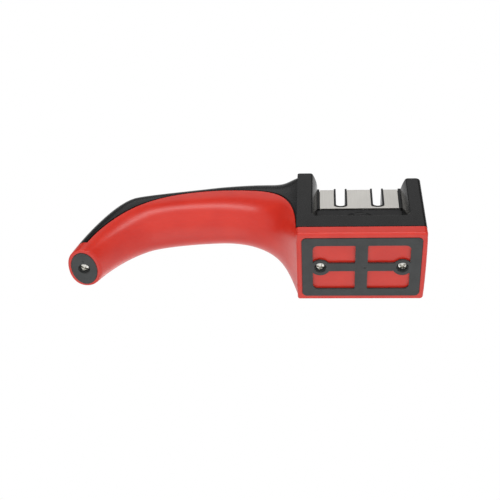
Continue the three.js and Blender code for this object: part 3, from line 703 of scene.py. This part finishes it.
def joint_points(offset, steps=40):
    """The joint line moved square to itself, from the collar's cut to the base."""
    points = [(COLLAR_CUT[0], COLLAR_CUT[1] + offset)]
    for index, controls in enumerate(JOINT_LINE):
        for step in range(1 if index else 0, steps + 1):
            here = cubic(controls, step / steps)
            ahead = cubic(controls, step / steps + 0.001) - cubic(controls, step / steps - 0.001)
            ahead.normalize()
            points.append((here.x - ahead.y * offset, here.y + ahead.x * offset))
    points.append((HEAD_LEFT + offset, SPLIT_Z + offset))
    points.append((OVERALL_RIGHT + PAST, SPLIT_Z + offset))
    return points


def side_of_joint(above):
    offset = GAP / 2 if above else -GAP / 2
    far = FAR if above else -PAST
    ends = [(OVERALL_RIGHT + PAST, far), (COLLAR_CUT[0], far)]
    return prism_y(joint_points(offset) + ends, -FAR, FAR)


# ---------- the head ----------

def face_inset(y, radius):
    """How far an edge of that radius has drawn in at y, close to the head's two faces."""
    over = max(0, abs(y) - (HALF_WIDTH - radius))
    return radius - math.sqrt(max(0, radius * radius - over * over))


def end_x(y, z):
    """The free end, which bows out in plan and leans in towards its top."""
    lean = END_LEAN * max(0, z - SPLIT_Z) / (RIGHT_POST_TOP - SPLIT_Z)
    return OVERALL_RIGHT - END_BULGE * (y / HALF_WIDTH) ** 2 - lean


def housing_outline(y):
    """Front view of the black housing at y: base, free end, posts, recess."""
    bottom = SPLIT_Z + GAP / 2
    lip = face_inset(y, RECESS_LIP)
    end = face_inset(y, HEAD_CORNER_RADIUS)
    left_top = LEFT_POST_TOP - face_inset(y, LEFT_POST_ROUND)
    right_top = RIGHT_POST_TOP - face_inset(y, RIGHT_POST_ROUND)
    flare = max(0, abs(y) - RECESS_FLARE_START) / (HALF_WIDTH - RECESS_FLARE_START)
    widening = (RECESS_HALF_OUTER - RECESS_HALF_INNER) * flare ** RECESS_FLARE_POWER
    half = RECESS_HALF_INNER + widening + lip
    floor = RECESS_FLOOR - lip
    right = end_x(y, right_top) - end
    points = [(HEAD_LEFT, bottom), (end_x(y, bottom) - end, bottom)]
    points += arc(right - RIGHT_POST_ROUND, right_top - RIGHT_POST_ROUND, RIGHT_POST_ROUND, 0, 90)
    points += arc(half + POST_CORNER, right_top - POST_CORNER, POST_CORNER, 90, 180)
    points += arc(half - RECESS_CORNER, floor + RECESS_CORNER, RECESS_CORNER, 0, -90)
    points += arc(RECESS_CORNER - half, floor + RECESS_CORNER, RECESS_CORNER, 270, 180)
    points += arc(-half - POST_CORNER, left_top - POST_CORNER, POST_CORNER, 0, 90)
    points += arc(HEAD_LEFT + POST_CORNER, left_top - POST_CORNER, POST_CORNER, 90, 180)
    return points


def socket_cut():
    """The cartridge's room below the recess floor, and grooves for its ends above it."""
    end = CARTRIDGE_HALF_LENGTH + GAP
    deep, wide = SOCKET_HALF_DEPTH, CARTRIDGE_RIM_DEPTH + GAP
    pit = block((-end, -deep, SOCKET_FLOOR), (end, deep, SOCKET_FLOOR + 2 * PAST))
    return join(pit, block((-end, -wide, RECESS_FLOOR), (end, wide, FAR)))


def head_hollow():
    """The housing's inside: under the recess floor and up into each post."""
    inside = HALF_WIDTH - WALL
    left = HEAD_LEFT - PAST
    wall = RECESS_HALF_OUTER + WALL
    right = OVERALL_RIGHT - END_BULGE - END_LEAN - WALL
    room = block((left, -inside, -PAST), (right, inside, RECESS_FLOOR - WALL))
    return join(room, block((left, -inside, -PAST), (-wall, inside, LEFT_POST_TOP - WALL)),
                block((wall, -inside, -PAST), (right, inside, RIGHT_POST_TOP - WALL)))


def housing():
    depths = [HALF_WIDTH - HEAD_CORNER_RADIUS * (1 - math.sin(math.pi / 2 * i / 14))
              for i in range(14, -1, -1)]
    depths += [HALF_WIDTH - RECESS_LIP * (1 - math.sin(math.pi / 2 * i / 5)) for i in range(5)]
    depths += [*range(RECESS_FLARE_START, 23), 7, 0]
    ordered = sorted(set(round(d, 4) for d in depths))
    stations = [-d for d in reversed(ordered)] + [d for d in ordered if d > 0]
    head = loft("housing", [[(x, y, z) for x, z in housing_outline(y)] for y in stations])
    cut(head, head_hollow())
    end = CARTRIDGE_HALF_LENGTH + GAP + WALL
    deep = SOCKET_HALF_DEPTH + WALL
    tray = block((-end, -deep, SOCKET_UNDERSIDE), (end, deep, RECESS_FLOOR - SOCKET_BLOCK_DROP))
    return cut(join(head, tray), socket_cut())


def screw_bosses(cover):
    """Posts that the three screws bite into, with their holes."""
    low = SEAT_Z + SEAT_THICKNESS + GAP
    for x in (-BASE_SCREW_X, BASE_SCREW_X):
        join(cover, prism_z(circle(BOSS_RADIUS, x), low, SOCKET_UNDERSIDE + 1))
        cut(cover, prism_z(circle(SCREW_SHANK_RADIUS + GAP, x), -PAST, SOCKET_FLOOR - 1))
    stem = prism_z(circle(BOSS_RADIUS, FOOT_X), FOOT_BOSS_BOTTOM, FOOT_BOSS_TOP)
    foot_inside = loft("inside", [ring(s / 20, WALL / 2, 64) for s in range(1, 15)])
    join(cover, combined(stem, foot_inside, "INTERSECT"))
    cut(cover, prism_z(circle(SCREW_SHANK_RADIUS + GAP, FOOT_X), -PAST, FOOT_HOLE_TOP))


def slab_outline(inset, radius):
    """Plan of the red base, drawn in by inset. Its free end bows out."""
    corner = max(radius - inset, SMALLEST_CORNER)
    near = max(LEFT_CORNER - inset / 2, SMALLEST_CORNER)
    side = HALF_WIDTH - inset
    left = HEAD_LEFT + 0.75 * inset
    right = OVERALL_RIGHT - END_BULGE - inset
    bow = [(right + END_BULGE * (1 - (y / HALF_WIDTH) ** 2), y)
           for y in (-16, -8, 0, 8, 16)]
    return (arc(left + near, near - side, near, 180, 270)
            + arc(right - corner, corner - side, corner, 270, 360) + bow
            + arc(right - corner, side - corner, corner, 0, 90)
            + arc(left + near, side - near, near, 90, 180))


def base_slab():
    loops = []
    for inset, lift in rounded_edge(HEAD_EDGE_RADIUS):
        outline = slab_outline(inset, HEAD_CORNER_RADIUS)
        loops.append([(x, y, HEAD_BOTTOM + lift) for x, y in outline])
    top = SPLIT_Z - GAP / 2
    for inset, drop in BASE_TOP_EDGE:
        outline = slab_outline(inset, HEAD_CORNER_RADIUS)
        loops.append([(x, y, top - drop) for x, y in outline])
    return loft("slab", loops)


def pad_outline(growth):
    radius = PAD_CORNER_RADIUS + growth
    x, y = PAD_HALF_LENGTH + growth, PAD_HALF_WIDTH + growth
    return rounded(-x, -y, x, y, [radius] * 4)


def screw_room(shell):
    """Wells, screw holes and the seats around them in the red moulding."""
    for x in (-BASE_SCREW_X, BASE_SCREW_X):
        join(shell, prism_z(circle(WELL_RADIUS + WALL / 2, x), HEAD_BOTTOM + 1,
                            SEAT_Z + SEAT_THICKNESS))
    foot = ellipse(FOOT_X, FOOT_HALF_X + GAP, FOOT_HALF_Y + GAP)
    cut(shell, prism_z(pad_outline(GAP), -PAST, PAD_THICKNESS + GAP),
        prism_z(foot, -PAST, FOOT_THICKNESS + GAP))
    for x in (-BASE_SCREW_X, BASE_SCREW_X, FOOT_X):
        cut(shell, prism_z(circle(WELL_RADIUS, x), -PAST, SEAT_Z),
            prism_z(circle(SCREW_SHANK_RADIUS + GAP, x), -PAST, SHELL_HOLE_TOP))


def body_shell():
    shell = handle_skin()
    combined(shell, handle_hollow(), "DIFFERENCE")
    combined(shell, side_of_joint(False), "INTERSECT")
    cut(shell, joint_groove())
    slab = base_slab()
    cut(slab, block((HEAD_LEFT + WALL, WALL - HALF_WIDTH, HEAD_BOTTOM + WALL),
                    (OVERALL_RIGHT - END_BULGE - WALL, HALF_WIDTH - WALL, SPLIT_Z + PAST)))
    join(shell, slab)
    screw_room(shell)
    return finished(shell, "red_shell", RED, "carcass", ["body_shell"])


def top_cover():
    cover = handle_skin()
    combined(cover, handle_hollow(), "DIFFERENCE")
    combined(cover, side_of_joint(True), "INTERSECT")
    cut(cover, joint_groove())
    join(cover, housing())
    screw_bosses(cover)
    return finished(cover, "black_cover", BLACK, "carcass", ["top_cover"])


# ---------- pads and screws ----------

def liner_ring(x):
    """A rubber sleeve that lines a screw well, from inside the pad up to the screw's seat."""
    sleeve = prism_z(circle(LINER_RADIUS, x), PAD_THICKNESS / 2, SEAT_Z - GAP)
    throat = SCREW_HEAD_RADIUS + GAP / 2
    return cut(sleeve, prism_z(circle(COUNTERBORE_RADIUS, x), -PAST, LINER_STEP),
               prism_z(circle(throat, x), -PAST, PAST))


def gate_dimple(x, y):
    """The soft round mark that moulding leaves."""
    return moved(lathe(GATE_PROFILE), Matrix.Translation((x, y, 0)))


def base_pad():
    pad = prism_z(pad_outline(0), 0, PAD_THICKNESS)
    for side_x in (-1, 1):
        for side_y in (-1, 1):
            xs = sorted((side_x * PAD_BAR_HALF_X, side_x * WINDOW_END_X))
            ys = sorted((PAD_BAR_FRONT if side_y < 0 else PAD_BAR_REAR, side_y * WINDOW_END_Y))
            outer = [side_x < 0 and side_y < 0, side_x > 0 and side_y < 0,
                     side_x > 0 and side_y > 0, side_x < 0 and side_y > 0]
            radii = [WINDOW_CORNER if big else WINDOW_INNER_CORNER for big in outer]
            cut(pad, prism_z(rounded(xs[0], ys[0], xs[1], ys[1], radii), -PAST, PAST))
    for x in (-BASE_SCREW_X, BASE_SCREW_X):
        join(pad, prism_z(circle(PAD_BOSS_RADIUS, x), 0, PAD_THICKNESS))
    for x in (-BASE_SCREW_X, BASE_SCREW_X):
        cut(pad, prism_z(circle(COUNTERBORE_RADIUS, x), -PAST, PAST))
    cut(pad, gate_dimple(*PAD_GATE))
    bevelled(pad, PAD_BEVEL)
    for x in (-BASE_SCREW_X, BASE_SCREW_X):
        join(pad, liner_ring(x))
    return finished(pad, "rubber_pad", RUBBER, "carcass", ["base_pad"])


def foot_pad():
    pad = prism_z(ellipse(FOOT_X, FOOT_HALF_X, FOOT_HALF_Y), 0, FOOT_THICKNESS)
    cut(pad, prism_z(circle(COUNTERBORE_RADIUS, FOOT_X), -PAST, PAST),
        gate_dimple(FOOT_X, FOOT_GATE_Y))
    bevelled(pad, FOOT_BEVEL, segments=4)
    join(pad, liner_ring(FOOT_X))
    return finished(pad, "rubber_foot", RUBBER, "carcass", ["foot_pad"])


def pan_screw(head_radius, head_height, shank, length):
    """A cross-recess pan-head screw: its face is at z = 0 and its tip at z = length."""
    dome = [(head_radius * math.sin(t), head_height * DOME_RISE * (1 - math.cos(t)))
            for t in (math.pi / 2 * i / 10 for i in range(1, 11))]
    profile = [(0, 0), *dome, (head_radius, head_height), (shank, head_height)]
    z = head_height + THREAD_START
    while z < length - 2 * shank:
        profile += [(shank, z), (shank * THREAD_ROOT, z + THREAD_PITCH / 2)]
        z += THREAD_PITCH
    profile += [(shank, z), (shank * TIP_RADIUS, length - TIP_CONE), (0, length)]
    screw = lathe(profile)
    arm = head_radius * RECESS_ARM
    slit = head_radius * RECESS_SLIT
    depth = head_height * RECESS_DEPTH
    for turn in (0, math.pi / 2):
        top = [(-arm, -slit), (arm, -slit), (arm, slit), (-arm, slit)]
        deep = [(x * RECESS_TAPER[0], y * RECESS_TAPER[1]) for x, y in top]
        blade = loft("blade", [[(x * 1.1, y * 1.1, -ABOVE_FACE) for x, y in top],
                               [(x, y, depth) for x, y in deep]])
        cut(screw, moved(blade, Matrix.Rotation(turn, 4, "Z")))
    core = head_radius * RECESS_CORE
    cut(screw, lathe([(0, -ABOVE_FACE), (core * 1.15, -ABOVE_FACE), (core * 0.5, depth),
                      (0, depth * 1.1)]))
    return screw


def base_screws():
    places = {"base_screw_left": -BASE_SCREW_X, "base_screw_right": BASE_SCREW_X,
              "foot_screw": FOOT_X}
    for node, x in places.items():
        low, high = span(node)
        screw = pan_screw(SCREW_HEAD_RADIUS, SCREW_HEAD_HEIGHT, SCREW_SHANK_RADIUS,
                          high.z - low.z)
        moved(screw, Matrix.Rotation(SCREW_TURNS[node], 4, "Z"))
        moved(screw, Matrix.Translation((x, 0, SCREW_FACE)))
        finished(screw, node + "_fine", SCREW, "carcass", [node])


# ---------- the cartridge ----------

def channel(x, half_width, bottom, top):
    """A slot's outline in front view: upright sides and a bottom that is half an ellipse."""
    rise = SLOT_BOTTOM_RISE
    curve = [(px, bottom + rise + pz * rise / half_width)
             for px, pz in arc(x, 0, half_width, 180, 360, 3 * ARC)]
    return [(x - half_width, top)] + curve + [(x + half_width, top)]


def slot_cut(x, half_width, bottom):
    return prism_y(channel(x, half_width, bottom, CARTRIDGE_RIM_TOP + PAST), -FAR, FAR)


def leaning(piece, slot_x, side, edge_offset, y):
    place = (Matrix.Translation((slot_x, y, VEE_BOTTOM)) @ Matrix.Rotation(side * VEE_LEAN, 4, "Y")
             @ Matrix.Translation((side * edge_offset, 0, VEE_BAR_RISE)))
    return moved(piece, place)


def carbide_bar(side, growth=0):
    x, y, z = (size / 2 + growth for size in CARBIDE_SIZE)
    bar = block((-x, -y, -z), (x, y, z))
    return leaning(bar, -SLOT_X, side, CARBIDE_SIZE[0] / 2, side * CARBIDE_PLANE_Y)


def ceramic_bar(side, growth=0):
    r, half, edge = CERAMIC_RADIUS + growth, CERAMIC_LENGTH / 2 + growth, CERAMIC_EDGE
    rod = lathe([(0, -half), (r - edge, -half), (r - 0.1, edge * 0.3 - half), (r, edge - half),
                 (r, half - edge), (r - 0.1, half - edge * 0.3), (r - edge, half), (0, half)])
    return leaning(rod, SLOT_X, side, CERAMIC_RADIUS, side * CERAMIC_PLANE_Y)


def cross_pin(growth=0):
    r, half, edge = PIN_RADIUS + growth, PIN_HALF_LENGTH + growth, PIN_EDGE
    pin = lathe([(0, -half), (r - edge, -half), (r, edge - half), (r, half - edge),
                 (r - edge, half), (0, half)])
    moved(pin, Matrix.Rotation(math.pi / 2, 4, "X"))
    return moved(pin, Matrix.Translation((-SLOT_X, 0, PIN_Z)))


def abrasives(growth):
    return [carbide_bar(-1, growth), carbide_bar(1, growth), ceramic_bar(-1, growth),
            ceramic_bar(1, growth), cross_pin(growth)]


def scoop(side):
    ball = bmesh.new()
    bmesh.ops.create_uvsphere(ball, u_segments=96, v_segments=64, radius=SCOOP_RADIUS)
    mesh = bpy.data.meshes.new("scoop")
    ball.to_mesh(mesh)
    ball.free()
    piece = bpy.data.objects.new("scoop", mesh)
    bpy.context.scene.collection.objects.link(piece)
    away = CARTRIDGE_HALF_DEPTH + SCOOP_RADIUS - SCOOP_DEPTH
    return moved(piece, Matrix.Translation((0, side * away, SCOOP_Z)))


def cartridge_half(side, node):
    near = side * GAP / 2
    end = CARTRIDGE_HALF_LENGTH
    inner = STEEL_HALF_LENGTH + GAP
    depths = sorted((near, side * CARTRIDGE_HALF_DEPTH))
    rim_depths = sorted((near, side * CARTRIDGE_RIM_DEPTH))
    half = block((-end, depths[0], CARTRIDGE_BOTTOM),
                 (end, depths[1], STEEL_TOP - STEEL_THICKNESS - GAP))
    for left, right in ((-end, -inner), (inner, end)):
        join(half, block((left, rim_depths[0], CARTRIDGE_LEDGE_Z),
                         (right, rim_depths[1], CARTRIDGE_RIM_TOP)))
    cut(half, *(slot_cut(x, GUIDE_HALF_WIDTH + GAP, GUIDE_BOTTOM - GAP)
                for x in (-SLOT_X, SLOT_X)))
    bevelled(half, CARTRIDGE_BEVEL)
    cut(half, scoop(side), *abrasives(GAP))
    for x in (-CLAMP_X, CLAMP_X):
        tip = CLAMP_FACE - CLAMP_LENGTH - 1
        seat = CLAMP_FACE - CLAMP_HEAD_HEIGHT - GAP
        cut(half, prism_y(circle(CLAMP_SHANK + GAP, x, CLAMP_Z), tip, FAR))
        if side > 0:
            cut(half, prism_y(circle(CLAMP_HEAD_RADIUS + GAP, x, CLAMP_Z), seat, FAR))
    return finished(half, node + "_fine", CARTRIDGE, "cartridge", [node])


def steel_cover():
    outer = rounded(-STEEL_OUTER, STEEL_BOTTOM, STEEL_OUTER, STEEL_TOP,
                    [0, 0, STEEL_BEND, STEEL_BEND])
    inside = STEEL_OUTER - STEEL_THICKNESS
    bend = STEEL_BEND - STEEL_THICKNESS
    inner = rounded(-inside, STEEL_BOTTOM - PAST, inside, STEEL_TOP - STEEL_THICKNESS,
                    [0, 0, bend, bend])
    cover = prism_x(outer, -STEEL_HALF_LENGTH, STEEL_HALF_LENGTH)
    cut(cover, prism_x(inner, -STEEL_HALF_LENGTH - PAST, STEEL_HALF_LENGTH + PAST))
    cut(cover, *(slot_cut(x, GUIDE_HALF_WIDTH + SNUG, LIP_BOTTOM - SNUG)
                 for x in (-SLOT_X, SLOT_X)))
    bevelled(cover, STEEL_BEVEL, segments=2)
    return finished(cover, "steel_cover_fine", STEEL, "cartridge",
                    ["steel_cover"])


def slot_guide(x, node):
    def channel_solid(bottom, depth):
        return prism_y(channel(x, GUIDE_HALF_WIDTH, bottom, CARTRIDGE_RIM_TOP), -depth, depth)
    guide = channel_solid(GUIDE_BOTTOM, GUIDE_HALF_DEPTH)
    join(guide, channel_solid(LIP_BOTTOM, LIP_HALF_DEPTH))
    cut(guide, slot_cut(x, SLOT_HALF_WIDTH, SLOT_BOTTOM))
    bevelled(guide, GUIDE_BEVEL, segments=2)
    cut(guide, *abrasives(GAP))
    return finished(guide, node + "_fine", CARTRIDGE, "cartridge", [node])


def working_parts():
    for side, place in ((-1, "front"), (1, "rear")):
        blade = bevelled(carbide_bar(side), BLADE_BEVEL, segments=2)
        cut(blade, cross_pin(SNUG))
        node = "carbide_blade_" + place
        finished(blade, node + "_fine", CARBIDE, "cartridge", [node])
        node = "ceramic_rod_" + place
        finished(ceramic_bar(side), node + "_fine", CERAMIC, "cartridge", [node])
    finished(cross_pin(), "carbide_cross_pin_fine", SCREW, "cartridge",
             ["carbide_cross_pin"])
    for node, x in (("cartridge_screw_left", -CLAMP_X), ("cartridge_screw_right", CLAMP_X)):
        screw = pan_screw(CLAMP_HEAD_RADIUS, CLAMP_HEAD_HEIGHT, CLAMP_SHANK, CLAMP_LENGTH)
        moved(screw, Matrix.Rotation(math.pi / 2, 4, "X"))
        moved(screw, Matrix.Translation((x, CLAMP_FACE, CLAMP_Z)))
        finished(screw, node + "_fine", SCREW, "cartridge", [node])


body_shell()
top_cover()
base_pad()
foot_pad()
base_screws()
cartridge_half(-1, "cartridge_front_half")
cartridge_half(1, "cartridge_rear_half")
steel_cover()
slot_guide(-SLOT_X, "coarse_slot_guide")
slot_guide(SLOT_X, "fine_slot_guide")
working_parts()


# ---------- stage, light and camera, metres ----------

FLOOR_Z = -0.62       # lower than the camera, which looks up at the tool's underside
FLOOR_HALF = 12
FLOOR_GLOW = 0.38     # stands for the even light of a studio sweep
FRONT_FILL = 0.14     # brightness of the room on the camera's side
REAR_FILL = 1.0       # and beyond the tool
FILL_START = -0.1     # between these two y of the direction one fill goes over into the other
FILL_END = 0.55

# Name, place, width, height and watts of each soft light. All of them face LIT_POINT.
LIGHTS = [
    ("key", (0.03, -0.95, -0.06), 1.3, 0.26, 5.6),
    ("top", (-0.05, -0.60, 0.85), 0.9, 0.7, 1.5),
    ("rear", (0.45, 0.9, 0.75), 0.8, 0.8, 2.2),
    ("below", (0, 0.38, -0.50), 0.8, 0.45, 0.5),
]
LIT_POINT = (0, 0, 0.03)


def pale_floor():
    surface = Surface("pale_floor", Roughness=0.8, Emission_Color=(1, 1, 1, 1),
                      Emission_Strength=FLOOR_GLOW)
    surface.colour(surface.ranged(surface.noise(0.004), 0, 1), (0.86, 0.86, 0.86), (0.9, 0.9, 0.9))
    half = FLOOR_HALF
    corners = [(-half, -half, FLOOR_Z), (half, -half, FLOOR_Z), (half, half, FLOOR_Z),
               (-half, half, FLOOR_Z)]
    floor = mesh_object("floor", corners, [(0, 1, 2, 3)])
    floor.data.materials.append(surface.material)


def soft_light(name, place, width, height, power):
    data = bpy.data.lights.new(name, "AREA")
    data.shape = "RECTANGLE"
    data.size = width
    data.size_y = height
    data.energy = power
    light = bpy.data.objects.new(name, data)
    bpy.context.scene.collection.objects.link(light)
    light.location = place
    light.rotation_mode = "QUATERNION"
    light.rotation_quaternion = (Vector(LIT_POINT) - Vector(place)).to_track_quat("-Z", "Y")


def ramped(tree, value, start, end, low, high):
    node = tree.nodes.new("ShaderNodeMapRange")
    node.interpolation_type = "SMOOTHSTEP"
    for socket, number in (("From Min", start), ("From Max", end), ("To Min", low),
                           ("To Max", high)):
        node.inputs[socket].default_value = number
    tree.links.new(value, node.inputs["Value"])
    return node.outputs["Result"]


def studio():
    """White in the picture; around the tool, a room that is brighter behind than in front."""
    world = bpy.data.worlds.new("studio")
    bpy.context.scene.world = world
    world.use_nodes = True
    tree = world.node_tree
    fill = tree.nodes["Background"]
    fill.inputs["Color"].default_value = (1, 1, 1, 1)
    around = tree.nodes.new("ShaderNodeTexCoord").outputs["Generated"]
    axes = tree.nodes.new("ShaderNodeSeparateXYZ")
    tree.links.new(around, axes.inputs[0])
    brightness = ramped(tree, axes.outputs["Y"], FILL_START, FILL_END, FRONT_FILL, REAR_FILL)
    tree.links.new(brightness, fill.inputs["Strength"])
    backdrop = tree.nodes.new("ShaderNodeBackground")
    backdrop.inputs["Color"].default_value = (1, 1, 1, 1)
    backdrop.inputs["Strength"].default_value = 1.0
    path = tree.nodes.new("ShaderNodeLightPath")
    mix = tree.nodes.new("ShaderNodeMixShader")
    tree.links.new(path.outputs["Is Camera Ray"], mix.inputs[0])
    tree.links.new(fill.outputs[0], mix.inputs[1])
    tree.links.new(backdrop.outputs[0], mix.inputs[2])
    tree.links.new(mix.outputs[0], tree.nodes["World Output"].inputs["Surface"])
    for light in LIGHTS:
        soft_light(*light)


CAMERA_AT = (0.04254, -0.35640, -0.42017)
CAMERA_AZIMUTH = math.radians(6.49)
CAMERA_BELOW = math.radians(50.62)
CAMERA_ROLL = math.radians(4.70)
CAMERA_LENS = 68.88


def camera():
    data = bpy.data.cameras.new("camera")
    data.lens = CAMERA_LENS
    data.sensor_width = 36
    data.clip_start = 0.01
    eye = bpy.data.objects.new("camera", data)
    bpy.context.scene.collection.objects.link(eye)
    a, e, roll = CAMERA_AZIMUTH, CAMERA_BELOW, CAMERA_ROLL
    ahead = Vector((-math.sin(a) * math.cos(e), math.cos(a) * math.cos(e), math.sin(e)))
    right = Vector((math.cos(a), math.sin(a), 0))
    up = right.cross(ahead)
    right, up = (right * math.cos(roll) + up * math.sin(roll),
                 up * math.cos(roll) - right * math.sin(roll))
    turn = Matrix((right, up, -ahead)).transposed().to_4x4()
    eye.matrix_world = Matrix.Translation(CAMERA_AT) @ turn
    bpy.context.scene.camera = eye


pale_floor()
studio()
camera()
bpy.context.scene.view_settings.view_transform = "Standard"
